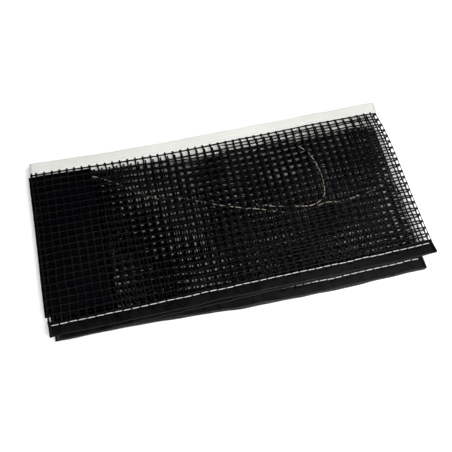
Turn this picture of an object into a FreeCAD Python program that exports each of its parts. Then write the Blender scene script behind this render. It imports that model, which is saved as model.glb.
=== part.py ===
"""Table-tennis net, folded for storage into six stacked panels.

The net is one long strip: black knitted netting with a white vinyl tape folded over its top
edge, a black vinyl tape folded over its bottom edge, a tension cord running through the top
tape, and a flat fabric sleeve at each end that slips over a net post.  Five creases divide the
strip into panels, numbered from the bottom of the folded stack to the top, so the two ends of
the net are the left edges of panel 1 and panel 6.

Frame, in millimetres: +X along the folded bundle, +Y from the bottom tape to the top tape,
+Z up.  The origin is the centre of the bundle's footprint on the surface it rests on.
Each panel has a frame of its own, on its centre line at mid thickness, at its left end.
"""

import FreeCAD
import Part
import math
import os
import Sketcher
from FreeCAD import Placement, Rotation, Vector

PANELS = (1, 2, 3, 4, 5, 6)
CREASES = (1, 2, 3, 4, 5)
Y_UP = Vector(0, 1, 0)
Z_UP = Vector(0, 0, 1)
TO_X = Rotation(Y_UP, 90)
TO_Y = Rotation(Vector(1, 0, 0), -90)

DIMENSIONS = [
    ("net_high", 152.5, "height of the net, tape edge to tape edge"),
    ("netting_high", 148.0, "height of the netting, which runs inside both tapes"),
    ("netting_thick", 0.5, "thickness of the knitted netting"),
    ("tape_wide", 11.0, "width of a folded tape"),
    ("ply_thick", 0.2, "thickness of one vinyl ply"),
    ("bottom_gap", 0.54, "room between the plies of the bottom tape"),
    ("top_gap", 0.74, "room between the plies of the top tape, for the cord"),
    ("cord_thick", 0.7, "diameter of the tension cord"),
    ("seam_inset", 2.2, "seam line, in from a tape's open edge"),
    ("stitch_pitch", 6.8, "distance from stitch to stitch"),
    ("stitch_long", 6.0, "length of one stitch"),
    ("stitch_wide", 0.5, "width of the sewing thread"),
    ("stitch_thick", 0.08, "thickness of a stitch"),
    ("groove_wide", 0.8, "width of the groove that a seam pulls into its tape"),
    ("groove_deep", 0.1, "depth of that groove"),
    ("sleeve_wide", 52.0, "width of a post sleeve laid flat"),
    ("sleeve_high", 120.0, "height of a post sleeve"),
    ("sleeve_inset", -2.0, "from the end of the net in to its sleeve, which overhangs the end"),
    ("sleeve_ply", 0.15, "thickness of one sleeve ply"),
    ("sleeve_open", 0.06, "room inside a sleeve laid flat"),
    ("sleeve_lift", 0.07, "gap between a sleeve and the netting"),
    ("cord_drop", 1.15, "depth of a loose cord below or above its panel's mid thickness"),
    ("mid_pitch", 1.35, "distance between the middle layers of the stack"),
    ("end_pitch", 2.3, "distance between layers with a sleeve and a cord between them"),
    ("length_a", 303.5, "panel 1, from the end of the net to crease 1"),
    ("length_b", 299.5, "panel 2, crease to crease"),
    ("length_c", 299.5, "panel 3, crease to crease"),
    ("length_d", 300.5, "panel 4, crease to crease"),
    ("length_e", 310.0, "panel 5, crease to crease"),
    ("length_f", 317.0, "panel 6, from crease 5 to the end of the net"),
    ("turn_low", -1.5, "angle of panels 1 to 4 to panel 6, in degrees"),
    ("turn_mid", 0.5, "angle of panel 5 to panel 6, in degrees"),
]
LENGTHS = dict(zip(PANELS, ("length_a", "length_b", "length_c", "length_d", "length_e", "length_f")))
TURNS = {1: "turn_low", 2: "turn_low", 3: "turn_low", 4: "turn_low", 5: "turn_mid"}


def make_sheet(doc):
    """The spreadsheet of driving dimensions: name, value and meaning on each row."""
    sheet = doc.addObject("Spreadsheet::Sheet", "Dimensions")
    for row, (alias, value, meaning) in enumerate(DIMENSIONS, start=1):
        sheet.set(f"A{row}", alias)
        sheet.set(f"B{row}", str(value))
        sheet.set(f"C{row}", meaning)
        sheet.setAlias(f"B{row}", alias)
    doc.recompute()
    return sheet


def pitch_name(crease):
    """The alias of the distance between the two layers that a crease joins."""
    return "end_pitch" if crease in (CREASES[0], CREASES[-1]) else "mid_pitch"


class Panel:
    """Where one panel of the folded net lies, and how far its flat part runs."""

    def __init__(self, sheet, number, left, level, turn):
        self.number = number
        self.left = left
        self.level = level
        self.turn = turn
        self.left_crease = number - 1 if number % 2 else number
        self.right_crease = number if number % 2 else number - 1
        self.start = self.bend(sheet, self.left_crease)
        self.end = sheet.get(LENGTHS[number]) - self.bend(sheet, self.right_crease)

    @staticmethod
    def bend(sheet, crease):
        """Radius of the bend at a crease, or 0 at a free end of the net."""
        return sheet.get(pitch_name(crease)) / 2 if crease in CREASES else 0.0

    @property
    def flat_expression(self):
        """The length of the flat part, as an expression on the sheet."""
        terms = [f"Dimensions.{LENGTHS[self.number]}"]
        for crease in (self.left_crease, self.right_crease):
            if crease in CREASES:
                terms.append(f"Dimensions.{pitch_name(crease)} / 2")
        return " - ".join(terms)

    def placement(self, x, y, z, rotation=Rotation()):
        """Row-frame placement of something at x, y, z in this panel's frame."""
        frame = Placement(Vector(self.left.x, self.left.y, self.level), Rotation(Z_UP, self.turn))
        return frame.multiply(Placement(Vector(x, y, z), rotation))


def lay_out(sheet):
    """Chains the six panels from crease to crease and gives their places."""
    panels = {}
    level = sheet.get("top_gap") / 2 + sheet.get("ply_thick")
    point = Vector(0, 0, 0)
    for number in PANELS:
        turn = sheet.get(TURNS[number]) if number in TURNS else 0.0
        along = Rotation(Z_UP, turn).multVec(Vector(sheet.get(LENGTHS[number]), 0, 0))
        runs_right = number % 2 == 1
        left = point if runs_right else point - along
        panels[number] = Panel(sheet, number, left, level, turn)
        point = point + along if runs_right else left
        if number in CREASES:
            level += sheet.get(pitch_name(number))
    return panels


def new_body(doc, label):
    body = doc.addObject("PartDesign::Body", label)
    body.Label = label
    return body


def sketch_on(body, role):
    """A sketch on one of the body's own origin planes."""
    plane = next(f for f in body.Origin.OriginFeatures if f.Role == role)
    sketch = body.newObject("Sketcher::SketchObject", body.Label + "_sketch")
    sketch.AttachmentSupport = (plane, "")
    sketch.MapMode = "FlatFace"
    return sketch


def bind(sketch, constraint, expression):
    """Adds a constraint and ties its value to the sheet."""
    index = sketch.addConstraint(constraint)
    sketch.setExpression(f"Constraints[{index}]", expression)


def add_tape(doc, sheet, panel, label, side, gap_name):
    """A vinyl tape folded over an edge of the netting: a hairpin section run along X.

    side is +1 for the top edge of the net and -1 for the bottom edge.
    """
    body = new_body(doc, label)
    sketch = sketch_on(body, "YZ_Plane")
    ply = sheet.get("ply_thick")
    inner = sheet.get(gap_name) / 2
    outer = inner + ply
    edge = side * sheet.get("net_high") / 2
    centre = Vector(edge - side * outer, 0, 0)
    mouth = edge - side * sheet.get("tape_wide")
    turn = (-math.pi / 2, math.pi / 2) if side > 0 else (math.pi / 2, 3 * math.pi / 2)
    arcs = []
    for radius in (outer, inner):
        circle = Part.Circle(centre, Z_UP, radius)
        arcs.append(sketch.addGeometry(Part.ArcOfCircle(circle, *turn)))
    corners = []
    for z in (outer, inner, -inner, -outer):
        start = Vector(centre.x, z, 0)
        corners.append(sketch.addGeometry(Part.LineSegment(start, Vector(mouth, z, 0))))
    ends = []
    for high, low in ((outer, inner), (-inner, -outer)):
        line = Part.LineSegment(Vector(mouth, high, 0), Vector(mouth, low, 0))
        ends.append(sketch.addGeometry(line))
    top_outer, top_inner, low_inner, low_outer = corners
    first, last = (1, 2) if side > 0 else (2, 1)
    start, end, middle = 1, 2, 3
    for line, arc, point in (
        (low_outer, arcs[0], first),
        (top_outer, arcs[0], last),
        (low_inner, arcs[1], first),
        (top_inner, arcs[1], last),
    ):
        sketch.addConstraint(Sketcher.Constraint("Tangent", line, start, arc, point))
    for line, cap, point in (
        (top_outer, ends[0], start),
        (top_inner, ends[0], end),
        (low_inner, ends[1], start),
        (low_outer, ends[1], end),
    ):
        sketch.addConstraint(Sketcher.Constraint("Coincident", line, end, cap, point))
    sketch.addConstraint(Sketcher.Constraint("Coincident", arcs[0], middle, arcs[1], middle))
    sketch.addConstraint(Sketcher.Constraint("PointOnObject", arcs[0], middle, -1))
    sketch.addConstraint(Sketcher.Constraint("Horizontal", top_outer))
    for cap in ends:
        sketch.addConstraint(Sketcher.Constraint("Vertical", cap))
    gap = f"Dimensions.{gap_name} / 2"
    bind(sketch, Sketcher.Constraint("Radius", arcs[0], outer), f"{gap} + Dimensions.ply_thick")
    bind(sketch, Sketcher.Constraint("Radius", arcs[1], inner), gap)
    bind(
        sketch,
        Sketcher.Constraint("DistanceX", top_outer, end if side > 0 else start,
                            top_outer, start if side > 0 else end, abs(mouth - centre.x)),
        f"Dimensions.tape_wide - {gap} - Dimensions.ply_thick",
    )
    reach = f"Dimensions.net_high / 2 - {gap} - Dimensions.ply_thick"
    bind(
        sketch,
        Sketcher.Constraint("DistanceX", *((-1, 1, arcs[0], middle) if side > 0
                                           else (arcs[0], middle, -1, 1)), abs(centre.x)),
        reach,
    )
    pad = body.newObject("PartDesign::Pad", label + "_run")
    pad.Profile = sketch
    pad.setExpression("Length", panel.flat_expression)
    add_grooves(sheet, body, side, gap_name)
    body.Placement = panel.placement(panel.start, 0, 0)
    return body


def add_grooves(sheet, body, side, gap_name):
    """The shallow groove that the seam pulls into each face of a tape, along its whole run."""
    sketch = sketch_on(body, "YZ_Plane")
    outer = sheet.get(gap_name) / 2 + sheet.get("ply_thick")
    wide, deep = sheet.get("groove_wide"), sheet.get("groove_deep")
    seam = sheet.get("net_high") / 2 - sheet.get("tape_wide") + sheet.get("seam_inset")
    near, far = side * (seam - wide / 2), side * (seam + wide / 2)
    start, end = 1, 2
    outside = f"Dimensions.{gap_name} / 2 + Dimensions.ply_thick"
    seam_line = "Dimensions.net_high / 2 - Dimensions.tape_wide + Dimensions.seam_inset"
    for face in (1, -1):
        floor, mouth = face * (outer - deep), face * outer
        corners = [(near, floor), (far, floor), (far, mouth), (near, mouth)]
        lines = []
        for (y, z), (next_y, next_z) in zip(corners, corners[1:] + corners[:1]):
            segment = Part.LineSegment(Vector(y, z, 0), Vector(next_y, next_z, 0))
            lines.append(sketch.addGeometry(segment))
        for line, following in zip(lines, lines[1:] + lines[:1]):
            sketch.addConstraint(Sketcher.Constraint("Coincident", line, end, following, start))
        for number, line in enumerate(lines):
            kind = "Vertical" if number % 2 else "Horizontal"
            sketch.addConstraint(Sketcher.Constraint(kind, line))
        for corner, sign in ((start, "-"), (end, "+")):
            reach = (-1, 1, lines[0], corner) if side > 0 else (lines[0], corner, -1, 1)
            size = near if corner == start else far
            bind(sketch, Sketcher.Constraint("DistanceX", *reach, abs(size)),
                 f"{seam_line} {sign} Dimensions.groove_wide / 2")
        for line, height, depth in ((lines[0], floor, " - Dimensions.groove_deep"),
                                    (lines[2], mouth, "")):
            reach = (-1, 1, line, start) if face > 0 else (line, start, -1, 1)
            bind(sketch, Sketcher.Constraint("DistanceY", *reach, abs(height)), outside + depth)
    pocket = body.newObject("PartDesign::Pocket", body.Label + "_grooves")
    pocket.Profile = sketch
    pocket.Type = "ThroughAll"
    pocket.Midplane = True


def add_tension_cord(doc, sheet, panel, label):
    """The run of tension cord inside the top tape of one panel."""
    cord = doc.addObject("Part::Cylinder", label)
    cord.Label = label
    cord.setExpression("Radius", "Dimensions.cord_thick / 2")
    cord.setExpression("Height", panel.flat_expression)
    cord.Placement = panel.placement(panel.start, cord_line(sheet), 0, TO_X)
    return cord


def cord_line(sheet):
    """How far above the centre line the cord runs, in the bend of the top tape."""
    return sheet.get("net_high") / 2 - sheet.get("ply_thick") - sheet.get("top_gap") / 2


def add_crease_thread(doc, sheet, panel, panel_above, label):
    """The upright netting thread at the outer edge of a crease, which the fold turns about."""
    crease = panel.number
    thread = doc.addObject("Part::Cylinder", label)
    thread.Label = label
    thread.setExpression("Radius", "Dimensions.netting_thick / 2")
    thread.setExpression("Height", "Dimensions.net_high - 2 * Dimensions.tape_wide")
    on_right = panel.right_crease == crease
    x = sheet.get(LENGTHS[crease]) if on_right else 0.0
    half = (sheet.get("net_high") - 2 * sheet.get("tape_wide")) / 2
    seat = panel.placement(x, 0, sheet.get(pitch_name(crease)) / 2)
    lean = Rotation(Z_UP, (panel.turn + panel_above.turn) / 2)
    thread.Placement = Placement(seat.Base, lean).multiply(
        Placement(Vector(0, -half, 0), TO_Y)
    )
    return thread


def add_netting(doc, sheet, panel, label):
    """One panel of netting, as a thin slab whose long edges lie inside the two tapes."""
    slab = doc.addObject("Part::Box", label)
    slab.Label = label
    slab.setExpression("Length", panel.flat_expression)
    slab.setExpression("Width", "Dimensions.netting_high")
    slab.setExpression("Height", "Dimensions.netting_thick")
    slab.Placement = panel.placement(
        panel.start, -sheet.get("netting_high") / 2, -sheet.get("netting_thick") / 2
    )
    return slab


def stitch_row(sheet, run, z):
    """A straight row of stitches along X, centred on a run of that length, on the face at z."""
    pitch, stitch = sheet.get("stitch_pitch"), sheet.get("stitch_long")
    wide, thick = sheet.get("stitch_wide"), sheet.get("stitch_thick")
    count = int(run / pitch)
    first = (run - (count - 1) * pitch - stitch) / 2
    base = z if z > 0 else z - thick
    row = []
    for number in range(count):
        corner = Vector(first + number * pitch, -wide / 2, base)
        row.append(Part.makeBox(stitch, wide, thick, corner))
    return row


def add_seam(doc, sheet, panel, label, side, gap_name):
    """The seam through a tape: a row of stitches in the groove of each face."""
    face = sheet.get(gap_name) / 2 + sheet.get("ply_thick") - sheet.get("groove_deep")
    run = panel.end - panel.start
    node = doc.addObject("Part::Feature", label)
    node.Shape = Part.makeCompound(stitch_row(sheet, run, face) + stitch_row(sheet, run, -face))
    node.Label = label
    inset = sheet.get("net_high") / 2 - sheet.get("tape_wide") + sheet.get("seam_inset")
    node.Placement = panel.placement(panel.start, side * inset, 0)
    return node


def sleeve_level(sheet, panel):
    """Mid height of the sleeve above or below its panel, on the side towards the stack."""
    thick = 2 * sheet.get("sleeve_ply") + sheet.get("sleeve_open")
    level = sheet.get("netting_thick") / 2 + sheet.get("sleeve_lift") + thick / 2
    return level if panel.number == PANELS[0] else -level


def add_sleeve(doc, sheet, panel, label):
    """A flat tube of fabric, open at its top and bottom, that slips over a net post."""
    body = new_body(doc, label)
    sketch = sketch_on(body, "XZ_Plane")
    ply, room, wide = sheet.get("sleeve_ply"), sheet.get("sleeve_open"), sheet.get("sleeve_wide")
    start, end, middle = 1, 2, 3
    outer = room / 2 + ply
    arcs = []
    for radius, expression in (
        (outer, "Dimensions.sleeve_open / 2 + Dimensions.sleeve_ply"),
        (room / 2, "Dimensions.sleeve_open / 2"),
    ):
        ends = []
        for centre, turn in (
            (Vector(outer, 0, 0), (math.pi / 2, 3 * math.pi / 2)),
            (Vector(wide - outer, 0, 0), (-math.pi / 2, math.pi / 2)),
        ):
            circle = Part.Circle(centre, Z_UP, radius)
            ends.append(sketch.addGeometry(Part.ArcOfCircle(circle, *turn)))
        over = Part.LineSegment(Vector(outer, radius, 0), Vector(wide - outer, radius, 0))
        under = Part.LineSegment(Vector(outer, -radius, 0), Vector(wide - outer, -radius, 0))
        over, under = sketch.addGeometry(over), sketch.addGeometry(under)
        for line, point, arc, arc_point in (
            (over, start, ends[0], start),
            (over, end, ends[1], end),
            (under, start, ends[0], end),
            (under, end, ends[1], start),
        ):
            sketch.addConstraint(Sketcher.Constraint("Tangent", line, point, arc, arc_point))
        bind(sketch, Sketcher.Constraint("Radius", ends[0], radius), expression)
        arcs.append(ends)
    for near, far in zip(*arcs):
        sketch.addConstraint(Sketcher.Constraint("Coincident", near, middle, far, middle))
    for arc in arcs[0]:
        sketch.addConstraint(Sketcher.Constraint("PointOnObject", arc, middle, -1))
    reach = "Dimensions.sleeve_open / 2 + Dimensions.sleeve_ply"
    bind(sketch, Sketcher.Constraint("DistanceX", -1, 1, arcs[0][0], middle, outer), reach)
    bind(
        sketch,
        Sketcher.Constraint("DistanceX", -1, 1, arcs[0][1], middle, wide - outer),
        f"Dimensions.sleeve_wide - {reach}",
    )
    pad = body.newObject("PartDesign::Pad", label + "_height")
    pad.Profile = sketch
    pad.Midplane = True
    pad.setExpression("Length", "Dimensions.sleeve_high")
    body.Placement = panel.placement(sheet.get("sleeve_inset"), 0, sleeve_level(sheet, panel))
    return body


def add_sleeve_seam(doc, sheet, panel, label):
    """A row of stitches down each long side of a sleeve, on the face away from the netting."""
    face = 2 * sheet.get("sleeve_ply") + sheet.get("sleeve_open")
    side = 1 if panel.number == PANELS[0] else -1
    row = stitch_row(sheet, sheet.get("sleeve_high"), side * face / 2)
    upright = Rotation(Z_UP, 90)
    inset = sheet.get("seam_inset")
    stitches = []
    for x in (inset, sheet.get("sleeve_wide") - inset):
        for stitch in row:
            turned = stitch.copy()
            turned.Placement = Placement(Vector(x, -sheet.get("sleeve_high") / 2, 0), upright)
            stitches.append(turned)
    node = doc.addObject("Part::Feature", label)
    node.Shape = Part.makeCompound(stitches)
    node.Label = label
    node.Placement = panel.placement(sheet.get("sleeve_inset"), 0, sleeve_level(sheet, panel))
    return node


def add_loose_cord(doc, sheet, panel, label, path):
    """The free end of the tension cord, tucked in against the panel it comes out of.

    The cord leaves the end of the top tape, doubles back in a tight bend towards the inside of
    the stack, and lies over the sleeve and the netting along path, given as x, y points in the
    panel's frame.
    """
    radius = sheet.get("cord_thick") / 2
    side = 1 if panel.number == PANELS[0] else -1
    drop = side * sheet.get("cord_drop")
    exit_y = cord_line(sheet)
    tape_end = Vector(0, exit_y, 0)
    tucked = Vector(0, exit_y, drop)
    bend = Part.Arc(tape_end, Vector(-abs(drop) / 2, exit_y, drop / 2), tucked)
    curve = Part.BSplineCurve()
    points = [tucked] + [Vector(x, y, drop) for x, y in path]
    curve.interpolate(points, InitialTangent=Vector(1, 0, 0),
                      FinalTangent=(points[-1] - points[-2]).normalize())
    spine = Part.Wire([bend.toShape(), curve.toShape()])
    ring = Part.Wire(Part.makeCircle(radius, tape_end, Vector(-1, 0, 0)))
    node = doc.addObject("Part::Feature", label)
    node.Shape = spine.makePipeShell([ring], True, False)
    node.Label = label
    node.Placement = panel.placement(0, 0, 0)
    return node


RIGHT_CORD_PATH = [
    (12, 70), (55, 53), (79, 38), (113, 22), (161, 1), (182, -6), (205, -13), (240, -12),
    (272, -11), (292, -7), (305, 6), (309, 28), (306, 52), (294, 66), (270, 69), (244, 66),
    (232, 52), (240, 37), (244, 11), (239, -7), (226, -12), (209, -8), (193, -5), (180, -1),
]
LEFT_CORD_PATH = [
    (12, 70), (60, 54), (120, 47), (190, 47), (238, 36), (252, 12), (232, -10), (180, -16),
    (120, -14), (84, -26), (96, -44), (150, -48),
]


def build(doc):
    """Adds every piece of the net to the document and returns them by node name."""
    sheet = make_sheet(doc)
    panels = lay_out(sheet)
    nodes = []
    for number, panel in panels.items():
        nodes.append(add_netting(doc, sheet, panel, f"netting_{number}"))
        nodes.append(add_tape(doc, sheet, panel, f"top_tape_{number}", 1, "top_gap"))
        nodes.append(add_tape(doc, sheet, panel, f"bottom_tape_{number}", -1, "bottom_gap"))
        nodes.append(add_tension_cord(doc, sheet, panel, f"tension_cord_{number}"))
        nodes.append(add_seam(doc, sheet, panel, f"top_seam_{number}", 1, "top_gap"))
        nodes.append(add_seam(doc, sheet, panel, f"bottom_seam_{number}", -1, "bottom_gap"))
    for crease in CREASES:
        label = f"crease_thread_{crease}"
        nodes.append(add_crease_thread(doc, sheet, panels[crease], panels[crease + 1], label))
    for side, panel, path in (
        ("left", panels[PANELS[0]], LEFT_CORD_PATH),
        ("right", panels[PANELS[-1]], RIGHT_CORD_PATH),
    ):
        nodes.append(add_sleeve(doc, sheet, panel, f"end_sleeve_{side}"))
        nodes.append(add_sleeve_seam(doc, sheet, panel, f"sleeve_seam_{side}"))
        nodes.append(add_loose_cord(doc, sheet, panel, f"cord_end_{side}", path))
    doc.recompute()
    return nodes


def centre_on_origin(doc, nodes):
    """Moves the bundle so that the middle of its footprint is the origin."""
    box = FreeCAD.BoundBox()
    for node in nodes:
        box.add(node.Shape.BoundBox)
    shift = Vector(-box.Center.x, -box.Center.y, -box.ZMin)
    for node in nodes:
        node.Placement = Placement(node.Placement.Base + shift, node.Placement.Rotation)
    doc.recompute()


def check(doc, nodes):
    """Stops with a message if any object failed or any shape isn't closed and valid."""
    for thing in doc.Objects:
        if "Invalid" in thing.State or "Error" in thing.State:
            raise RuntimeError(f"{thing.Label} is in state {thing.State}")
    for node in nodes:
        shape = node.Shape
        if shape.isNull() or not shape.isValid() or not shape.Solids:
            raise RuntimeError(f"{node.Label} has no valid solid")
        if any(solid.Volume <= 0 for solid in shape.Solids):
            raise RuntimeError(f"{node.Label} has a solid with no volume")


def main():
    doc = FreeCAD.newDocument("folded_net")
    nodes = build(doc)
    centre_on_origin(doc, nodes)
    check(doc, nodes)
    os.makedirs("parts", exist_ok=True)
    for node in nodes:
        node.Shape.exportStep(os.path.join("parts", node.Label + ".step"))


main()
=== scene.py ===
"""The looks of a folded table-tennis net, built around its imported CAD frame.

The net is one strip: knotted netting, a vinyl tape along each edge, a seam through each tape
and a sleeve and a loose cord at each end.  Each panel between two creases is built in its own
coordinates u (along), v (up the net) and w (height over the panel's mid thickness), all in
millimetres, and a Panel puts them in the row frame.  Each crease has short pieces of its own
that follow the bend from one panel to the next.
"""

import math

import bpy
import numpy as np
from mathutils import Matrix, Vector


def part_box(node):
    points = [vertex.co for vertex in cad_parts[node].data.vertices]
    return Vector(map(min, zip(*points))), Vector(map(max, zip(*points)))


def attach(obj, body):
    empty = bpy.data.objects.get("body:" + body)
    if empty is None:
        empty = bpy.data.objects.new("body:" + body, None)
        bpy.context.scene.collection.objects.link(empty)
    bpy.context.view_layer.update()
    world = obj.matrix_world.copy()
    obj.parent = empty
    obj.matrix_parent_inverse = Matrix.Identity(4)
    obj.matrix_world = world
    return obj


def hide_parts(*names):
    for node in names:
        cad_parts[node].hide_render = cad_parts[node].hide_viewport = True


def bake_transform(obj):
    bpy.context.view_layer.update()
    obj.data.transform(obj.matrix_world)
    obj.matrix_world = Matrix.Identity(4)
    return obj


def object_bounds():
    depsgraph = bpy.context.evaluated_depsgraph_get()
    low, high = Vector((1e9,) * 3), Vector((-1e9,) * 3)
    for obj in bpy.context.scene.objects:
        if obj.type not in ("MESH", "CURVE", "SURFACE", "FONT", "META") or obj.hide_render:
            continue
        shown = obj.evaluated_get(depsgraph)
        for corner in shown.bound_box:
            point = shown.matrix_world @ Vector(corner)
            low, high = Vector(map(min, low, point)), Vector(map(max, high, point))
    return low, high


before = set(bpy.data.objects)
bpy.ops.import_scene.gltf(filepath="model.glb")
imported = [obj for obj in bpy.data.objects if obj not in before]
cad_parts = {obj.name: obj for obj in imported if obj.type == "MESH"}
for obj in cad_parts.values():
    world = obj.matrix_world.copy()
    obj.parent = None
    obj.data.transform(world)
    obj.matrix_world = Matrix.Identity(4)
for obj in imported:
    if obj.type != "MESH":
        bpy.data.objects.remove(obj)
CAD_LOW, CAD_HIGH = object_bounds()

MM = 0.001
SEED = 7
PANELS = (1, 2, 3, 4, 5, 6)
CREASES = (1, 2, 3, 4, 5)
LEANING = (1, 2, 3, 4)

# The net, in millimetres. EDGE is half its height, and a panel's v runs from -EDGE to EDGE.
EDGE = 76.25
CELL_LONG = 6.79
CELL_HIGH = 6.15
FIRST_ROW = EDGE - 12.0
ROWS = 22
NETTING_EDGE = EDGE - 3.0
# Where the tapes start to press the threads flat, over what run, and by how much.
TAPE_GRIP = EDGE - 12.0
TAPE_GRIP_RUN = 1.5
TAPE_FLATTENS = 0.6
# How much the cells tighten from a panel's right end to its left.
STRETCH = 0.075
THREAD_SIDES = 6
THREAD_HALF_WIDE = 0.70
THREAD_HALF_THICK = 0.28
KNOT_HALF_WIDE = 1.22
KNOT_EXTRA_THICK = 0.18
KNOT_REACH = 0.85
FREE_END_IN = 0.6
CREASE_THREAD_RADIUS = 0.36
CREASE_KNOT_EXTRA = 0.3
TOP_ROOM = 0.74
BOTTOM_ROOM = 0.54
PLY = 0.2
FRONT_LAP = 11.2
BACK_LAP = 10.2
# The seam pulls a tape's plies together along its line, and the open edge lies closer too.
PINCH_WIDE = 1.6
PINCH_DEEP = 0.1
MOUTH_CLOSE = 0.15
SEAM_LINE = EDGE - 8.8
STITCH_PITCH = 6.8
STITCH_LONG = 6.3
STITCH_RADIUS = 0.36
SLEEVE_STITCH_RADIUS = 0.22
STITCH_FLAT = 0.7
STITCH_SINK = 0.12
STITCH_RISE = 0.2
SEAM_SWAY = 0.12
SLEEVE_FROM, SLEEVE_WIDE, SLEEVE_HALF_HIGH = -2.0, 52.0, 61.5
SLEEVE_LIFT, SLEEVE_HALF_THICK, SLEEVE_SKIN = 0.52, 0.16, 0.1
# How far the sleeves have slipped up the net from where they were sewn.
SLEEVE_SLIP = 1.0
CORD_RADIUS = 0.36
CORD_STEP = 0.45
CORD_LAY = 2.6
CORD_PLY_OFF = 0.5 * CORD_RADIUS
CORD_PLY_RADIUS = 0.56 * CORD_RADIUS


# Smooth variation

class Waves:
    """Smooth random height over a plane: a sum of sine waves, scaled to about -1 to 1."""

    def __init__(self, rng, shortest, longest, count=7):
        angle = rng.uniform(0, 2 * math.pi, count)
        length = rng.uniform(shortest, longest, count)
        self.kx = np.cos(angle) * 2 * math.pi / length
        self.ky = np.sin(angle) * 2 * math.pi / length
        self.phase = rng.uniform(0, 2 * math.pi, count)
        self.scale = 1.4 / math.sqrt(count)

    def __call__(self, x, y):
        x, y = np.broadcast_arrays(x, y)
        waves = np.sin(x[..., None] * self.kx + y[..., None] * self.ky + self.phase)
        return waves.sum(-1) * self.scale


def smooth_curve(points, x):
    """A smooth curve through a few (x, y) points that never overshoots them, flat beyond its ends."""
    xs, ys = (np.array(c, float) for c in zip(*points))
    rates = np.diff(ys) / np.diff(xs)
    products = rates[:-1] * rates[1:]
    sums = rates[:-1] + rates[1:]
    slopes = np.zeros(len(xs))
    slopes[1:-1] = np.where(products > 0, 2 * products / np.where(sums == 0, 1, sums), 0.0)
    x = np.clip(np.asarray(x, float), xs[0], xs[-1])
    i = np.clip(np.searchsorted(xs, x) - 1, 0, len(xs) - 2)
    step = xs[i + 1] - xs[i]
    t = (x - xs[i]) / step
    rise = (3 * t**2 - 2 * t**3) * (ys[i + 1] - ys[i])
    lean = (t**3 - 2 * t**2 + t) * step * slopes[i] + (t**3 - t**2) * step * slopes[i + 1]
    return ys[i] + rise + lean


rng = np.random.default_rng(SEED)
RIPPLE = Waves(rng, 90, 260)
CRUMPLE = Waves(rng, 18, 60)
DRIFT_U = {p: Waves(rng, 16, 70) for p in PANELS}
DRIFT_V = {p: Waves(rng, 16, 70) for p in PANELS}
SLACK = {p: Waves(rng, 22, 70) for p in PANELS}

# How far the edges of the net bow sideways along the bundle, in millimetres from its left end.
LOWER_BOW = {
    "top": (
        (4, 0.3), (65, -0.5), (93, -1.6), (125, -2.4), (155, -2.1), (205, -1.0), (255, 0.6), (307, 1.6),
    ),
    "bottom": ((4, 1.3), (65, 1.4), (125, -0.5), (155, -1.8), (215, -1.7), (307, 0.9)),
}
UPPER_BOW = {
    "top": ((0, 0.0), (60, -1.1), (105, -1.8), (160, -0.9), (200, -0.2), (250, 0.9), (317, 2.0)),
    "bottom": ((0, 0.0), (150, 0.0), (290, 0.2), (317, 0.9)),
}
# How far the netting's rows drift up from their even places between its tapes: at each crease,
# and between the creases, where panels 1 to 4 drift alike from a step of their own.
CREASE_DRIFT = {1: 2.4, 2: 2.4, 3: 3.3, 4: 0.9, 5: -0.4}
DRIFT_STEP = {1: -1.3, 2: 2.2, 3: 2.6, 4: 0.0}
LOWER_DRIFT = ((30, -0.1), (140, 0.0), (170, -0.1), (200, 0.35), (250, 2.0), (290, 2.05))
UPPER_DRIFT = {
    5: ((30, 2.0), (60, 2.2), (110, 2.5), (152, 2.2), (175, -0.2), (250, -0.4), (290, -1.5), (311, -1.4)),
    6: ((60, -0.3), (130, -0.2), (200, 0.8), (250, 1.2), (290, 0.3), (308, 0.1)),
}
# How far the netting's uprights drift along the bundle from their even places.
COLUMN_DRIFT = {
    1: ((4, 0.0), (30, -1.1), (90, 0.3), (150, 1.8), (210, 3.0), (270, 3.8), (307, 0.0)),
    2: ((8, 0.0), (30, 0.5), (90, 1.2), (150, 2.0), (210, 2.7), (270, 3.0), (307, 0.0)),
    3: ((8, 0.0), (30, 0.7), (90, 1.3), (150, 1.8), (210, 2.2), (270, 2.3), (307, 0.0)),
    4: ((7, 0.0), (30, 2.7), (150, 2.6), (270, 1.9), (307, 0.0)),
    5: (
        (7, 0.0), (30, 1.5), (90, 1.0), (140, 0.5), (200, 1.3), (260, 2.2), (300, 4.2), (310, 5.0),
        (317, 0.0),
    ),
    6: ((0, 0.0), (250, 0.0), (300, 0.2), (310, 0.3), (317, 0.0)),
}
# How far the fold at the right pulls in from its place, by height up the net.
RIGHT_PULL = ((-76, -0.8), (-66, -0.1), (-45, 0.0), (25, 0.0), (48, 0.8), (63, 2.6), (69, 1.4), (76, 1.0))
PULL_RUN = 35.0
# How far the white edge droops where the pile under it is thin, by distance from the left end.
DROOP = ((0, 1.9), (40, 1.7), (110, 0.3), (200, 0.0), (317, 0.3))
DROOP_FROM = 58.0
DROOP_CURVE = 1.6
RIPPLE_HIGH = 0.5
WANDER = 0.3
SAG = 0.16
TAPE_DENT = 0.05
TAPE_WAVER = 0.18
TAPE_CALM_RUN = 6.0
SLEEVE_CRUMPLE = 0.09
BUNDLE_START = 2.0


# The panels

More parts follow.
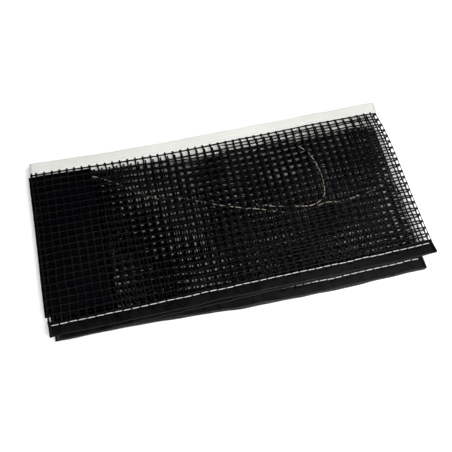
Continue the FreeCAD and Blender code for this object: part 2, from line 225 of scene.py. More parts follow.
class Panel:
    """One flat stretch of the net between two creases, as the CAD frame places it."""

    def __init__(self, number):
        self.number = number
        corners = np.array([v.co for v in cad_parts[f"netting_{number}"].data.vertices])
        centre = (corners.min(0) + corners.max(0)) / 2
        spread = np.linalg.svd(corners - centre, full_matrices=False)[2][0]
        self.along = spread * np.sign(spread[0])
        self.across = np.cross((0, 0, 1), self.along)
        self.flat = 2 * ((corners - centre) @ self.along).max() / MM
        self.start = centre - self.along * self.flat * MM / 2
        self.level = centre[2]
        self.front = 1 if number % 2 else -1
        self.right_crease = number if number % 2 else number - 1
        self.left_crease = number - 1 if number % 2 else number
        self.bow = LOWER_BOW if number in LEANING else UPPER_BOW

    def bundle_x(self, u):
        """Distance along the bundle from the end of the top panel, in millimetres."""
        return self.start[0] / MM + u - CAD_LOW[0] / MM - BUNDLE_START

    def row_drift(self, u):
        """How far the netting's rows drift up at a distance along the panel."""
        points = UPPER_DRIFT.get(self.number)
        if points is None:
            points = tuple((x, drift + DRIFT_STEP[self.number]) for x, drift in LOWER_DRIFT)
        ends = []
        for crease, end in ((self.left_crease, 0.0), (self.right_crease, self.flat)):
            if crease in CREASES:
                ends.append((self.bundle_x(end), CREASE_DRIFT[crease]))
        return smooth_curve(sorted((*points, *ends)), self.bundle_x(u))

    def share(self):
        """0 for the panel on the table, 1 for the one on top of the stack."""
        low, high = panels_level_range()
        return (self.level - low) / (high - low)

    def place(self, u, v, w=0.0):
        """Row-frame points, in metres, for panel coordinates in millimetres."""
        u, v, w = np.broadcast_arrays(*(np.asarray(a, float) for a in (u, v, w)))
        x = self.bundle_x(u)
        up = (v / EDGE + 1) / 2
        side = up * smooth_curve(self.bow["top"], x) + (1 - up) * smooth_curve(self.bow["bottom"], x)
        if self.right_crease == CREASES[-1]:
            near = np.clip((u - self.flat + PULL_RUN) / PULL_RUN, 0, 1)
            u = u - near**2 * smooth_curve(RIGHT_PULL, v)
        past = np.clip((v - DROOP_FROM) / (EDGE - DROOP_FROM), 0, 1)
        droop = smooth_curve(DROOP, x) * past**DROOP_CURVE
        lift = self.share() * (RIPPLE_HIGH * (1 + RIPPLE(x, v)) - droop)
        point = self.start + self.along * (u * MM)[..., None]
        point = point + self.across * ((v + side) * MM)[..., None]
        point[..., 2] += (w + lift) * MM
        return point


def panels_level_range():
    levels = [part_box(f"netting_{p}") for p in (PANELS[0], PANELS[-1])]
    return tuple((low.z + high.z) / 2 for low, high in levels)


class Crease:
    """The bend from one panel to the next: half a turn about the fold's axis."""

    def __init__(self, number, panels):
        self.number = number
        self.below, self.above = panels[number], panels[number + 1]
        self.sign = 1 if number % 2 else -1
        self.bodies = (f"panel_{number}", f"panel_{number + 1}")

    def ends(self, v):
        """The two panels' mid-thickness points where the bend starts and stops."""
        below_u = self.below.flat if self.sign > 0 else 0.0
        above_u = self.above.flat if self.sign > 0 else 0.0
        return self.below.place(below_u, v), self.above.place(above_u, v)

    def reach(self, v):
        """How far the bend stands out beyond the panels, in metres."""
        low, high = self.ends(v)
        return (high - low)[..., 2] / 2

    def place(self, turn, v, n=0.0):
        """Row-frame points at an angle round the bend, 0 at the lower panel and pi at the upper.

        n is the height over the net's front face in millimetres.
        """
        turn, v, n = np.broadcast_arrays(*(np.asarray(a, float) for a in (turn, v, n)))
        low, high = self.ends(v)
        middle, half = (low + high) / 2, (high - low) / 2
        out = self.sign * (self.below.along + self.above.along) / 2
        cos, sin = np.cos(turn)[..., None], np.sin(turn)[..., None]
        radius = self.reach(v)[..., None]
        outward = -np.array((0, 0, 1)) * cos + out * sin
        depth = (-n * self.below.front * MM)[..., None]
        return middle - half * cos + out * radius * sin + outward * depth

    def blend(self, piece, low_inset, high_inset):
        """Bakes a piece's placement into its mesh; it bends nothing, and the two insets are not used."""
        low, high = self.ends(0.0)
        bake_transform(piece)


# Meshes

def new_object(name, points, faces, material, smooth=True):
    """A mesh object from an array of points in metres and a list of faces."""
    mesh = bpy.data.meshes.new(name)
    mesh.from_pydata(np.asarray(points).reshape(-1, 3).tolist(), [], faces)
    mesh.polygons.foreach_set("use_smooth", [smooth] * len(mesh.polygons))
    mesh.materials.append(material)
    mesh.validate()
    thing = bpy.data.objects.new(name, mesh)
    bpy.context.scene.collection.objects.link(thing)
    return thing


def grid_faces(rows, columns, closed, offset=0, flip=False):
    """Quads over a grid of rows by columns of points; closed joins the last column to the first."""
    r = np.arange(rows - 1)[:, None]
    c = np.arange(columns if closed else columns - 1)[None, :]
    nxt = (c + 1) % columns
    quads = np.stack([r * columns + c, r * columns + nxt, (r + 1) * columns + nxt, (r + 1) * columns + c], -1)
    quads = quads.reshape(-1, 4) + offset
    return (quads[:, ::-1] if flip else quads).tolist()


def loft(rings, flip=False, caps=True, offset=0):
    """Points and faces of a tube through closed rings, with flat ends."""
    rings = np.asarray(rings)
    rows, columns = rings.shape[:2]
    faces = grid_faces(rows, columns, True, offset, flip)
    if caps:
        first = list(range(offset, offset + columns))
        last = list(range(offset + (rows - 1) * columns, offset + rows * columns))
        faces += [first[::-1], last] if not flip else [first, last[::-1]]
    return rings.reshape(-1, 3), faces


def tubes(paths, across, normal, half_wide, half_thick, sides=THREAD_SIDES):
    """Closed tubes along many paths at once.

    paths is (count, points, 3) in metres; across and normal are unit vectors of the same shape
    or one vector for all; half_wide and half_thick are in millimetres along each path.
    """
    count, steps = paths.shape[:2]
    around = np.linspace(0, 2 * math.pi, sides, endpoint=False)
    wide = np.broadcast_to(half_wide, (count, steps))[..., None, None] * MM
    thick = np.broadcast_to(half_thick, (count, steps))[..., None, None] * MM
    across = np.broadcast_to(across, paths.shape)[:, :, None, :]
    normal = np.broadcast_to(normal, paths.shape)[:, :, None, :]
    cos, sin = np.cos(around)[:, None], np.sin(around)[:, None]
    rings = paths[:, :, None, :] + across * wide * cos + normal * thick * sin
    faces = []
    one = np.array(grid_faces(steps, sides, True))
    caps = [list(range(sides))[::-1], list(range((steps - 1) * sides, steps * sides))]
    for number in range(count):
        offset = number * steps * sides
        faces += (one + offset).tolist()
        faces += [[i + offset for i in cap] for cap in caps]
    return rings.reshape(-1, 3), faces


def join(parts):
    """One list of points and faces from several."""
    points, faces, offset = [], [], 0
    for some_points, some_faces in parts:
        some_points = np.asarray(some_points).reshape(-1, 3)
        points.append(some_points)
        faces += [[i + offset for i in face] for face in some_faces]
        offset += len(some_points)
    return np.concatenate(points), faces


# Materials

def material(name, colour, roughness):
    """A new node material, with its nodes, links and shader ready for detail."""
    made = bpy.data.materials.new(name)
    made.use_nodes = True
    nodes, links = made.node_tree.nodes, made.node_tree.links
    shader = nodes["Principled BSDF"]
    shader.inputs["Base Color"].default_value = (*colour, 1)
    shader.inputs["Roughness"].default_value = roughness
    return made, nodes, links, shader


def texture(nodes, links, kind, scale, **settings):
    """A texture node in the object's own coordinates, whose scale is per metre."""
    coordinates = nodes.new("ShaderNodeTexCoord")
    node = nodes.new(kind)
    links.new(coordinates.outputs["Object"], node.inputs["Vector"])
    node.inputs["Scale"].default_value = scale
    for key, value in settings.items():
        if key in node.inputs:
            node.inputs[key].default_value = value
        else:
            setattr(node, key, value)
    return node


def ramp_between(nodes, links, factor, low, high, dark, light):
    """Blends two colours as a factor goes from low to high."""
    ramp = nodes.new("ShaderNodeValToRGB")
    links.new(factor, ramp.inputs["Fac"])
    ramp.color_ramp.elements[0].position = low
    ramp.color_ramp.elements[1].position = high
    ramp.color_ramp.elements[0].color = (*dark, 1)
    ramp.color_ramp.elements[1].color = (*light, 1)
    return ramp.outputs["Color"]


def add_bump(nodes, links, shader, layers):
    """Stacks bump layers, each (height socket, depth in millimetres), onto the shader."""
    normal = None
    for height, depth in layers:
        bump = nodes.new("ShaderNodeBump")
        bump.inputs["Strength"].default_value = 1.0
        bump.inputs["Distance"].default_value = depth * MM
        links.new(height, bump.inputs["Height"])
        if normal:
            links.new(normal, bump.inputs["Normal"])
        normal = bump.outputs["Normal"]
    links.new(normal, shader.inputs["Normal"])


def netting_material():
    """Black nylon thread: a twist along each strand, faint sheen and uneven dye."""
    made, nodes, links, shader = material("netting", (0.004, 0.004, 0.004), 0.34)
    twist = texture(nodes, links, "ShaderNodeTexWave", 700, bands_direction="DIAGONAL", Distortion=1.5)
    fuzz = texture(nodes, links, "ShaderNodeTexNoise", 2600, Detail=3.0)
    dye = texture(nodes, links, "ShaderNodeTexNoise", 22, Detail=3.0)
    blue_black, brown_black = (0.002, 0.0021, 0.003), (0.0055, 0.005, 0.0048)
    colour = ramp_between(nodes, links, dye.outputs["Fac"], 0.35, 0.7, blue_black, brown_black)
    links.new(colour, shader.inputs["Base Color"])
    add_bump(nodes, links, shader, [(twist.outputs["Fac"], 0.12), (fuzz.outputs["Fac"], 0.05)])
    shader.inputs["Specular IOR Level"].default_value = 0.16
    return made


def vinyl_material(name, dark, light, roughness, specular):
    """Soft vinyl tape: fine pebbled grain, slight unevenness in colour and gloss."""
    made, nodes, links, shader = material(name, light, roughness)
    grain = texture(nodes, links, "ShaderNodeTexVoronoi", 2200)
    dents = texture(nodes, links, "ShaderNodeTexNoise", 160, Detail=4.0)
    shade = texture(nodes, links, "ShaderNodeTexNoise", 14, Detail=5.0, Roughness=0.6)
    colour = ramp_between(nodes, links, shade.outputs["Fac"], 0.3, 0.7, dark, light)
    links.new(colour, shader.inputs["Base Color"])
    gloss = ramp_between(
        nodes, links, dents.outputs["Fac"], 0.3, 0.7, (roughness - 0.06,) * 3, (roughness + 0.08,) * 3
    )
    links.new(gloss, shader.inputs["Roughness"])
    add_bump(nodes, links, shader, [(grain.outputs["Distance"], 0.02), (dents.outputs["Fac"], 0.12)])
    shader.inputs["Specular IOR Level"].default_value = specular
    return made


def thread_material(name, dark, light, roughness, scale):
    """Spun thread or cord: twisted plies with a fuzz of fibres."""
    made, nodes, links, shader = material(name, light, roughness)
    twist = texture(nodes, links, "ShaderNodeTexWave", scale, bands_direction="DIAGONAL", Distortion=1.0)
    fuzz = texture(nodes, links, "ShaderNodeTexNoise", scale * 4, Detail=4.0)
    colour = ramp_between(nodes, links, fuzz.outputs["Fac"], 0.3, 0.7, dark, light)
    links.new(colour, shader.inputs["Base Color"])
    add_bump(nodes, links, shader, [(twist.outputs["Fac"], 0.1), (fuzz.outputs["Fac"], 0.05)])
    shader.inputs["Sheen Weight"].default_value = 0.2
    return made


def woven_material():
    """Plain-weave nylon of the sleeves: warp and weft threads at right angles, with painted shade in the
    hollows of the weave.
    """
    made, nodes, links, shader = material("sleeve_weave", (0.008, 0.008, 0.01), 0.6)
    warp = texture(nodes, links, "ShaderNodeTexWave", 420, bands_direction="X", Distortion=0.3)
    weft = texture(nodes, links, "ShaderNodeTexWave", 420, bands_direction="Y", Distortion=0.3)
    both = nodes.new("ShaderNodeMath")
    both.operation = "MAXIMUM"
    links.new(warp.outputs["Fac"], both.inputs[0])
    links.new(weft.outputs["Fac"], both.inputs[1])
    # Painted shade: the weave's hollows are coloured darker than its crowns, as if shade fell between the
    # threads.
    shaded_hollow, lit_crown = (0.0012, 0.0012, 0.0016), (0.003, 0.003, 0.0037)
    colour = ramp_between(nodes, links, both.outputs[0], 0.4, 1.0, shaded_hollow, lit_crown)
    links.new(colour, shader.inputs["Base Color"])
    add_bump(nodes, links, shader, [(both.outputs[0], 0.1)])
    shader.inputs["Specular IOR Level"].default_value = 0.05
    return made


NETTING = netting_material()
WHITE_VINYL = vinyl_material("white_vinyl", (0.72, 0.72, 0.675), (0.81, 0.81, 0.76), 0.5, 0.5)
BLACK_VINYL = vinyl_material("black_vinyl", (0.0018, 0.0018, 0.0024), (0.0036, 0.0036, 0.0036), 0.3, 0.22)
STITCH = thread_material("stitch", (0.6, 0.6, 0.62), (0.86, 0.86, 0.88), 0.55, 1500)
CORD = thread_material("cord", (0.3, 0.27, 0.2), (0.52, 0.48, 0.37), 0.7, 900)
SLEEVE = woven_material()
SLEEVE_STITCH = thread_material("sleeve_stitch", (0.01, 0.01, 0.012), (0.025, 0.025, 0.03), 0.6, 1500)


# Netting

# Where a thread has its points between one knot and the next.
STEPS = np.array([0.0, 0.14, 0.3, 0.5, 0.7, 0.86])


def swell(distance):
    """Extra half width of a thread near a knot, by distance from the knot in millimetres."""
    return np.exp(-(np.abs(distance) / KNOT_REACH) ** 2.4)


def column_places(panel):
    """Where the upright threads of a panel stand, from crease to crease or crease to cut end."""
    first_bend = CREASE_REACH.get(panel.left_crease, 0.0)
    last_bend = CREASE_REACH.get(panel.right_crease, 0.0)
    length = panel.flat + first_bend + last_bend
    if panel.left_crease in CREASES:
        cells = round(length / CELL_LONG)
        even = np.arange(1, cells) * length / cells
    else:
        cells = int(length / CELL_LONG)
        even = length - np.arange(cells, 0, -1) * CELL_LONG
    places = even * (1 + STRETCH * (even / length - 1)) - first_bend
    if panel.left_crease not in CREASES:
        places = np.append(FREE_END_IN, places[places > 2.0])
    return places


def row_places():
    return FIRST_ROW - CELL_HIGH * np.arange(ROWS)


def between(places, low, high):
    """Sample points along a thread: a few between each two knots, denser near the knots."""
    marks = np.concatenate([[low], places, [high]])
    marks = np.unique(marks)
    points = [a + (b - a) * STEPS for a, b in zip(marks[:-1], marks[1:])]
    return np.append(np.concatenate(points), marks[-1])


def nearest_knot(samples, places):
    return np.abs(samples[:, None] - places[None, :]).min(1)


def wander(panel, u, v):
    """Where a point of the netting really lies, once its threads have drifted a little."""
    number = panel.number
    x = panel.bundle_x(u)
    near_tape = np.clip((FIRST_ROW + 2.0 - np.abs(v)) / CELL_HIGH, 0, 1)
    in_tape = np.clip((NETTING_EDGE - np.abs(v)) / CELL_HIGH, 0, 1)
    ends = np.clip(np.minimum(u, panel.flat - u) / (2 * CELL_LONG), 0, 1)
    shift_u = WANDER * DRIFT_U[number](u, v) * ends + smooth_curve(COLUMN_DRIFT[number], x)
    shift_v = WANDER * DRIFT_V[number](u, v) * near_tape + panel.row_drift(u) * in_tape
    sag = SAG * SLACK[number](u, v) * near_tape * ends
    return u + shift_u, v + shift_v, sag


def netting_panel(panel):
    """The threads and knots of one panel."""
    columns, rows = column_places(panel), row_places()
    v = between(rows, -NETTING_EDGE, NETTING_EDGE)
    uprights_u, uprights_v = np.meshgrid(columns, v, indexing="ij")
    fat = np.broadcast_to(swell(nearest_knot(v, rows)), uprights_u.shape)
    parts = [thread_family(panel, uprights_u, uprights_v, fat, panel.along)]
    u = between(columns, 0.0, panel.flat)
    level_v, level_u = np.meshgrid(rows, u, indexing="ij")
    fat = np.broadcast_to(swell(nearest_knot(u, columns)), level_u.shape)
    parts.append(thread_family(panel, level_u, level_v, fat, panel.across))
    points, faces = join(parts)
    piece = new_object(f"netting_mesh_{panel.number}", points, faces, NETTING)
    return finish_piece(piece, f"panel_{panel.number}", "netting", f"netting_{panel.number}")


def thread_family(panel, u, v, fat, across):
    """Parallel threads of the netting as tubes that swell at the knots and lie flat in a tape."""
    u, v, sag = wander(panel, u, v)
    in_tape = np.clip((np.abs(v) - TAPE_GRIP) / TAPE_GRIP_RUN, 0, 1)
    flat = 1 - TAPE_FLATTENS * in_tape
    sag = sag * (1 - in_tape)
    paths = panel.place(u, v, sag)
    wide = THREAD_HALF_WIDE + fat * (KNOT_HALF_WIDE - THREAD_HALF_WIDE)
    thick = (THREAD_HALF_THICK + fat * KNOT_EXTRA_THICK) * flat
    return tubes(paths, across, (0, 0, 1), wide, thick)


def finish_piece(piece, body, slot, *nodes):
    """Rides a piece on its body and hides the CAD nodes it stands for."""
    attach(piece, body)
    if nodes:
        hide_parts(*nodes)
    return piece


def netting_crease(crease):
    """The level threads where they bend round a crease, and the upright at its outer edge."""
    turn = np.linspace(0, math.pi, 9)
    rows = row_places()
    level, angle = np.meshgrid(rows, turn, indexing="ij")
    middle = swell((angle - math.pi / 2) / math.pi * 2 * CREASE_REACH[crease.number])
    drift = CREASE_DRIFT[crease.number]
    paths = crease.place(angle, level + drift)
    out = crease.sign * crease.below.along
    normal = -np.array((0, 0, 1)) * np.cos(angle)[..., None] + out * np.sin(angle)[..., None]
    wide = THREAD_HALF_WIDE + middle * (KNOT_HALF_WIDE - THREAD_HALF_WIDE) * 0.8
    thick = THREAD_HALF_THICK + middle * 0.1
    points, faces = tubes(paths, crease.below.across, normal, wide, thick)
    piece = new_object(f"netting_bend_{crease.number}", points, faces, NETTING)
    crease.blend(piece, THREAD_HALF_THICK, THREAD_HALF_THICK)
    v = between(rows, rows[-1], rows[0])
    path = crease.place(math.pi / 2, v + drift)[None]
    fat = swell(nearest_knot(v, rows))[None]
    wide = CREASE_THREAD_RADIUS + fat * CREASE_KNOT_EXTRA
    upright = tubes(path, (0, 0, 1), out, wide, wide)
    piece = new_object(f"crease_upright_{crease.number}", *upright, NETTING)
    finish_piece(piece, f"panel_{crease.number}", "netting", f"crease_thread_{crease.number}")


# Tapes and seams

class Tape:
    """The vinyl tape folded over one edge of the net, with room between its plies."""

    def __init__(self, name, side, room, vinyl):
        self.name = name
        self.side = side
        self.room = room
        self.vinyl = vinyl
        self.outer = room / 2 + PLY

    def half_gap(self, depth, lap):
        """Half the room between the plies, at a depth in from the edge of the net."""
        pinch = np.exp(-((depth - (EDGE - SEAM_LINE)) / PINCH_WIDE) ** 2)
        open_end = np.clip((depth - self.outer) / lap, 0, 1)
        return self.room / 2 * (1 - MOUTH_CLOSE * open_end) - PINCH_DEEP * pinch

    def ply_line(self, lap, samples=15):
        """One ply's inner line from its mouth to where the bend starts: (depth, half gap)."""
        depth = np.linspace(lap, self.outer, samples)
        return depth, self.half_gap(depth, lap)

    def section(self):
        """The closed outline of the folded tape, as (v, n) points in millimetres."""
        outline = []
        for thickness in (PLY, 0.0):
            front_depth, front_gap = self.ply_line(FRONT_LAP)
            back_depth, back_gap = self.ply_line(BACK_LAP)
            bend = np.linspace(math.pi / 2, -math.pi / 2, 11)[1:-1]
            radius = self.room / 2 + thickness
            bend_depth = self.outer - radius * np.cos(bend)
            depth = np.concatenate([front_depth, bend_depth, back_depth[::-1]])
            n = np.concatenate([front_gap + thickness, radius * np.sin(bend), -back_gap[::-1] - thickness])
            line = np.stack([self.side * (EDGE - depth), n], -1)
            outline.append(line if thickness else line[::-1])
        return np.concatenate(outline)

    def ply_section(self, front):
        """The closed outline of one ply alone, out to the middle of the bend."""
        lap = FRONT_LAP if front else BACK_LAP
        sign = 1 if front else -1
        outline = []
        for thickness in (PLY, 0.0):
            depth, gap = self.ply_line(lap)
            bend = np.linspace(math.pi / 2, 0, 6)[1:]
            radius = self.room / 2 + thickness
            depth = np.concatenate([depth, self.outer - radius * np.cos(bend)])
            n = sign * np.concatenate([gap + thickness, radius * np.sin(bend)])
            line = np.stack([self.side * (EDGE - depth), n], -1)
            outline.append(line if thickness else line[::-1])
        return np.concatenate(outline)


def tape_panel(panel, tape):
    """The tape along one panel, slightly crumpled, with its ends cut square."""
    section = tape.section()
    u = np.linspace(0, panel.flat, 130)
    v, n = section[:, 0], section[:, 1]
    grid_u, grid_v = np.meshgrid(u, v, indexing="ij")
    calm = np.clip(np.minimum(grid_u, panel.flat - grid_u) / TAPE_CALM_RUN, 0, 1)
    dent = TAPE_DENT * CRUMPLE(grid_u, grid_v + 40 * panel.number) * calm
    edge = TAPE_WAVER * DRIFT_V[panel.number](grid_u * 1.3, 9.0 * tape.side) * calm
    rings = panel.place(grid_u, grid_v + edge, panel.front * n[None, :] + dent)
    flip = (tape.side > 0) == (panel.front > 0)
    points, faces = loft(rings, flip=flip)
    piece = new_object(f"{tape.name}_vinyl_{panel.number}", points, faces, tape.vinyl)
    node = f"{tape.name}_{panel.number}"
    slot = "white_tape" if tape.side > 0 else "black_tape"
    nodes = [node, f"tension_cord_{panel.number}"] if tape.side > 0 else [node]
    return finish_piece(piece, f"panel_{panel.number}", slot, *nodes)


def tape_crease(crease, tape):
    """The tape round a crease, one piece for its outer ply and one for its inner ply."""
    turn = np.linspace(0, math.pi, 17)
    for front in (True, False):
        section = tape.ply_section(front)
        angle, v = np.meshgrid(turn, section[:, 0], indexing="ij")
        rings = crease.place(angle, v, section[None, :, 1])
        outside = front != (crease.below.front > 0)
        where = "outer" if outside else "inner"
        flip = (tape.side > 0) != front
        points, faces = loft(rings, flip=flip)
        piece = new_object(f"{tape.name}_{where}_bend_{crease.number}", points, faces, tape.vinyl)
        inset = tape.outer if not outside else PLY - tape.outer
        crease.blend(piece, inset, inset)


def seam_panel(panel, tape):
    """Lockstitches along a tape: a row of short tight threads on each face."""
    count = int(panel.flat / STITCH_PITCH)
    first = (panel.flat - count * STITCH_PITCH) / 2
    along = np.linspace(-0.5, 0.5, 9)
    dip = 1 - np.abs(along * 2) ** 6
    depth = EDGE - SEAM_LINE
    for face in (1, -1):
        centre = first + (np.arange(count) + 0.5) * STITCH_PITCH
        sway = SEAM_SWAY * DRIFT_V[panel.number](centre * 2.0, 30.0 * face)
        u = centre[:, None] + along[None, :] * STITCH_LONG
        lap = FRONT_LAP if face > 0 else BACK_LAP
        surface = tape.half_gap(depth, lap) + PLY
        n = face * (surface - STITCH_SINK + STITCH_RISE * dip)
        v = np.broadcast_to((tape.side * SEAM_LINE + sway)[:, None], u.shape)
        paths = panel.place(u, v, panel.front * np.broadcast_to(n, u.shape))
        wide = STITCH_RADIUS * (0.45 + 0.55 * dip)
        points, faces = tubes(paths, panel.across, (0, 0, 1), wide, wide * STITCH_FLAT)
        where = "front" if face > 0 else "back"
        name = f"{tape.name.replace('_tape', '')}_stitches_{where}_{panel.number}"
        piece = new_object(name, points, faces, STITCH)
        node = f"{tape.name.replace('_tape', '')}_seam_{panel.number}"
        finish_piece(piece, f"panel_{panel.number}", "thread", node)


# Sleeves and loose cords

def sleeve(panel, end):
    """A flat tube of woven fabric, open at its top and bottom, with soft rounded sides."""
    side = 1 if panel.number == PANELS[0] else -1
    v = np.linspace(-SLEEVE_HALF_HIGH, SLEEVE_HALF_HIGH, 60) + SLEEVE_SLIP
    around = np.linspace(0, 2 * math.pi, 64, endpoint=False)
    parts = []
    for skin, flip in ((0.0, False), (SLEEVE_SKIN, True)):
        flat = np.sign(np.cos(around)) * np.abs(np.cos(around)) ** 0.35
        half = SLEEVE_WIDE / 2 - skin
        u = SLEEVE_FROM + SLEEVE_WIDE / 2 + half * flat
        w = (SLEEVE_HALF_THICK - skin) * np.sign(np.sin(around)) * np.abs(np.sin(around)) ** 0.6
        grid_v, grid_u = np.meshgrid(v, u, indexing="ij")
        crumple = SLEEVE_CRUMPLE * CRUMPLE(grid_u * 1.5, grid_v * 1.5)
        rings = panel.place(grid_u, grid_v, side * SLEEVE_LIFT + w[None, :] + crumple)
        parts.append(loft(rings, flip=flip, caps=False))
    points, faces = join(parts)
    columns, rows = len(around), len(v)
    inner = rows * columns
    for row, turned in ((0, True), (rows - 1, False)):
        base = row * columns
        for c in range(columns):
            d = (c + 1) % columns
            rim = [base + c, base + d, inner + base + d, inner + base + c]
            faces.append(rim[::-1] if turned else rim)
    piece = new_object(f"post_sleeve_{end}", points, faces, SLEEVE)
    return finish_piece(piece, f"panel_{panel.number}", "sleeve", f"end_sleeve_{end}")


def sleeve_seam(panel, end):
    """A row of stitches down each long side of a sleeve."""
    side = 1 if panel.number == PANELS[0] else -1
    count = int(2 * SLEEVE_HALF_HIGH / STITCH_PITCH)
    along = np.linspace(-0.5, 0.5, 7)
    dip = 1 - np.abs(along * 2) ** 6
    centre = (np.arange(count) - (count - 1) / 2) * STITCH_PITCH
    v = centre[:, None] + along * STITCH_LONG + SLEEVE_SLIP
    parts = []
    for u in (SLEEVE_FROM + 1.6, SLEEVE_FROM + SLEEVE_WIDE - 1.6):
        w = side * (SLEEVE_LIFT + SLEEVE_HALF_THICK + 0.1 * dip)
        paths = panel.place(np.full(v.shape, u), v, np.broadcast_to(w, v.shape))
        wide = SLEEVE_STITCH_RADIUS * (0.5 + 0.5 * dip)
        parts.append(tubes(paths, panel.along, (0, 0, 1), wide, wide * STITCH_FLAT))
    piece = new_object(f"sleeve_stitches_{end}", *join(parts), SLEEVE_STITCH)
    return finish_piece(piece, f"panel_{panel.number}", "sleeve_thread", f"sleeve_seam_{end}")


# The loose cords' paths in their panels' u and v.
RIGHT_CORD = (
    (0.3, 75.3), (6, 74.6), (14, 69), (30, 60), (55, 53), (79, 38), (99, 24), (113, 22), (161, 1),
    (182, -6), (205, -13), (227, -14), (240, -12), (255, -14), (272, -11), (292, -7), (305, 6),
    (310, 28), (308, 52), (296, 68), (270, 71), (244, 68), (231, 52), (240, 37), (244, 11),
    (239, -7), (226, -12), (209, -8), (193, -5), (180, -1),
)
LEFT_CORD = (
    (0.3, 75.3), (6, 74.6), (12, 70), (60, 54), (120, 47), (190, 47), (238, 36), (252, 12),
    (232, -10), (180, -16), (120, -14), (84, -26), (96, -44), (150, -48),
)
# How deep each cord lies, from the start of its path (0) to its tip (1).
CORD_DROP = {
    "right": (
        (0, 0.3), (0.01, 1.15), (0.08, 1.2), (0.12, 2.9), (0.27, 2.9), (0.3, 1.15), (0.34, 1.15),
        (0.36, 2.9), (0.42, 2.9), (0.435, 1.15), (0.482, 1.15), (0.495, 2.9), (0.75, 2.9),
        (0.77, 1.2), (0.93, 1.15), (0.945, 2.9), (0.97, 2.9), (0.985, 1.1), (1, 1.0),
    ),
    "left": ((0, 0.3), (0.01, 1.15), (1, 1.15)),
}


def smooth_path(points, spacing):
    """Evenly spaced points on a smooth path through a few (u, v) points."""
    points = np.array(points, float)
    gaps = np.linalg.norm(np.diff(points, axis=0), axis=1)
    at = np.concatenate([[0], np.cumsum(gaps ** 0.7)])
    fine = np.linspace(0, at[-1], 3000)
    slopes = np.gradient(points, at, axis=0)
    i = np.clip(np.searchsorted(at, fine) - 1, 0, len(at) - 2)
    step = (at[i + 1] - at[i])[:, None]
    t = ((fine - at[i]) / (at[i + 1] - at[i]))[:, None]
    path = (2 * t**3 - 3 * t**2 + 1) * points[i] + (3 * t**2 - 2 * t**3) * points[i + 1]
    path += (t**3 - 2 * t**2 + t) * step * slopes[i] + (t**3 - t**2) * step * slopes[i + 1]
    run = np.concatenate([[0], np.cumsum(np.linalg.norm(np.diff(path, axis=0), axis=1))])
    even = np.arange(0, run[-1], spacing)
    return np.stack([np.interp(even, run, path[:, axis]) for axis in (0, 1)], -1)


def loose_cord(panel, end, path):
    """The cord's free end, as two plies twisted together."""
    side = 1 if panel.number == PANELS[0] else -1
    line = smooth_path(path, CORD_STEP)
    done = np.arange(len(line)) / (len(line) - 1)
    heading = np.gradient(line, axis=0)
    heading /= np.linalg.norm(heading, axis=1, keepdims=True)
    sideways = np.stack([-heading[:, 1], heading[:, 0]], -1)
    twist = np.arange(len(line)) * CORD_STEP / CORD_LAY * 2 * math.pi
    drop = smooth_curve(CORD_DROP[end], done)
    parts = []
    for start in (0.0, math.pi):
        u = line[:, 0] + sideways[:, 0] * CORD_PLY_OFF * np.cos(twist + start)
        v = line[:, 1] + sideways[:, 1] * CORD_PLY_OFF * np.cos(twist + start)
        w = side * drop + CORD_PLY_OFF * np.sin(twist + start)
        across = panel.along * sideways[:, :1] + panel.across * sideways[:, 1:]
        thick = np.full(len(line), CORD_PLY_RADIUS)
        thick[[0, -1]] *= 0.6
        parts.append(tubes(panel.place(u, v, w)[None], across[None], (0, 0, 1), thick[None], thick[None]))
    piece = new_object(f"loose_cord_{end}", *join(parts), CORD)
    return finish_piece(piece, f"panel_{panel.number}", "cord", f"cord_end_{end}")


# The whole net

def build_net():
    top_tape = Tape("top_tape", 1, TOP_ROOM, WHITE_VINYL)
    bottom_tape = Tape("bottom_tape", -1, BOTTOM_ROOM, BLACK_VINYL)
    for panel in panels.values():
        netting_panel(panel)
        for tape in (top_tape, bottom_tape):
            tape_panel(panel, tape)
            seam_panel(panel, tape)
    for crease in creases:
        netting_crease(crease)
        for tape in (top_tape, bottom_tape):
            tape_crease(crease, tape)
    for end, panel, path in (("left", panels[1], LEFT_CORD), ("right", panels[6], RIGHT_CORD)):
        sleeve(panel, end)
        sleeve_seam(panel, end)
        loose_cord(panel, end, path)


# Stage, light and camera

CAMERA_AZIMUTH, CAMERA_ELEVATION, CAMERA_ROLL = 21.77, 66.11, 8.75
CAMERA_LENS, CAMERA_DISTANCE = 43.13, 0.449
# What the camera looks at: this far in from the right end and the top edge of the bundle.
CAMERA_AIM_IN = (0.167225, 0.091775)
BLACK_LEVEL = 0.003
# How brightly the floor glows to the camera, in rings around the bundle: where the ring begins
# and is full, as multiples of the bundle's half size, and how much it adds.
FLOOR_GLOW = ((0.99, 1.04, 0.35), (3.0, 12.0, 0.65))
FLOOR_HALF = 6.0
FLOOR_GAP = 0.0002
BACKDROP = 1.0
WORLD_LIGHT = 0.06


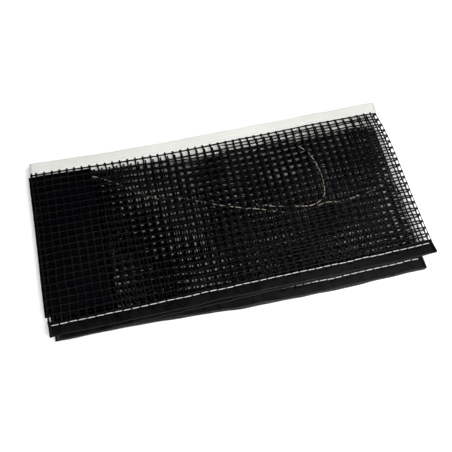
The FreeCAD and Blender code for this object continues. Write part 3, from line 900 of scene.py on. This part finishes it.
def add_floor():
    """A white sweep that looks evenly lit to the camera, except close under the net."""
    made, nodes, links, shader = material("floor", (0.94, 0.94, 0.94), 0.9)
    speckle = texture(nodes, links, "ShaderNodeTexNoise", 40, Detail=2.0)
    colour = ramp_between(nodes, links, speckle.outputs["Fac"], 0.3, 0.7, (0.93,) * 3, (0.95,) * 3)
    links.new(colour, shader.inputs["Base Color"])
    place = nodes.new("ShaderNodeTexCoord")
    shrink = nodes.new("ShaderNodeVectorMath")
    shrink.operation = "DIVIDE"
    shrink.inputs[1].default_value = (CAD_HIGH.x, CAD_HIGH.y, 1)
    links.new(place.outputs["Object"], shrink.inputs[0])
    spread = nodes.new("ShaderNodeVectorMath")
    spread.operation = "ABSOLUTE"
    links.new(shrink.outputs[0], spread.inputs[0])
    sides = nodes.new("ShaderNodeSeparateXYZ")
    links.new(spread.outputs[0], sides.inputs[0])
    far = nodes.new("ShaderNodeMath")
    far.operation = "MAXIMUM"
    links.new(sides.outputs["X"], far.inputs[0])
    links.new(sides.outputs["Y"], far.inputs[1])
    both = nodes.new("ShaderNodeMath")
    for socket, (near, full, most) in enumerate(FLOOR_GLOW):
        outside = nodes.new("ShaderNodeMapRange")
        outside.inputs["From Min"].default_value = near
        outside.inputs["From Max"].default_value = full
        outside.inputs["To Max"].default_value = most
        links.new(far.outputs[0], outside.inputs["Value"])
        links.new(outside.outputs[0], both.inputs[socket])
    seen = nodes.new("ShaderNodeLightPath")
    glow = nodes.new("ShaderNodeMath")
    glow.operation = "MULTIPLY"
    links.new(both.outputs[0], glow.inputs[0])
    links.new(seen.outputs["Is Camera Ray"], glow.inputs[1])
    shader.inputs["Emission Color"].default_value = (1, 1, 1, 1)
    links.new(glow.outputs[0], shader.inputs["Emission Strength"])
    half = FLOOR_HALF
    corners = [(-half, -half, 0), (half, -half, 0), (half, half, 0), (-half, half, 0)]
    floor = new_object("floor", corners, [[0, 1, 2, 3]], made)
    floor.location.z = CAD_LOW.z - FLOOR_GAP


def add_softbox(name, place, aim, size, power, colour=(1, 1, 1)):
    light = bpy.data.lights.new(name, "AREA")
    light.shape = "RECTANGLE"
    light.size, light.size_y = size
    light.energy = power
    light.color = colour
    box = bpy.data.objects.new(name, light)
    box.location = place
    box.rotation_euler = (Vector(aim) - Vector(place)).to_track_quat("-Z", "Y").to_euler()
    bpy.context.scene.collection.objects.link(box)


def add_lights():
    world = bpy.data.worlds.new("studio")
    world.use_nodes = True
    nodes, links = world.node_tree.nodes, world.node_tree.links
    nodes["Background"].inputs["Color"].default_value = (1, 1, 1, 1)
    seen = nodes.new("ShaderNodeLightPath")
    strength = nodes.new("ShaderNodeMapRange")
    strength.inputs["To Min"].default_value = WORLD_LIGHT
    strength.inputs["To Max"].default_value = BACKDROP
    links.new(seen.outputs["Is Camera Ray"], strength.inputs["Value"])
    links.new(strength.outputs[0], nodes["Background"].inputs["Strength"])
    bpy.context.scene.world = world
    add_softbox("overhead", (0.2, -0.6, 1.3), (0, 0, 0), (2.2, 1.3), 22)
    add_softbox("near", (0.14, -0.32, 0.5), (0.04, 0.0, 0), (0.3, 0.2), 1.5)
    add_softbox("left", (-1.3, 0.0, 0.9), (0, 0, 0), (1.0, 1.6), 4)
    add_softbox("right", (1.4, -0.5, 0.9), (0, 0, 0), (1.0, 1.6), 8)


def add_camera():
    azimuth, elevation = math.radians(CAMERA_AZIMUTH), math.radians(CAMERA_ELEVATION)
    ahead = Vector((
        math.sin(azimuth) * math.cos(elevation),
        math.cos(azimuth) * math.cos(elevation),
        -math.sin(elevation),
    ))
    aim = CAD_HIGH - Vector((*CAMERA_AIM_IN, 0))
    lens = bpy.data.cameras.new("camera")
    lens.lens, lens.sensor_width = CAMERA_LENS, 36.0
    lens.clip_start = 0.01
    camera = bpy.data.objects.new("camera", lens)
    camera.location = aim - ahead * CAMERA_DISTANCE
    roll = Matrix.Rotation(math.radians(CAMERA_ROLL), 4, "Z")
    camera.matrix_world = (
        Matrix.Translation(camera.location) @ ahead.to_track_quat("-Z", "Y").to_matrix().to_4x4() @ roll
    )
    bpy.context.scene.collection.objects.link(camera)
    bpy.context.scene.camera = camera


def set_tones():
    """Standard colours with the darkest tones pulled down to black."""
    view = bpy.context.scene.view_settings
    view.view_transform = "Standard"
    view.use_curve_mapping = True
    view.curve_mapping.black_level = (BLACK_LEVEL,) * 3
    view.curve_mapping.update()


panels = {number: Panel(number) for number in PANELS}
creases = [Crease(number, panels) for number in CREASES]
CREASE_REACH = {c.number: float(c.reach(0.0)) / MM for c in creases}
build_net()
add_floor()
add_lights()
add_camera()
set_tones()
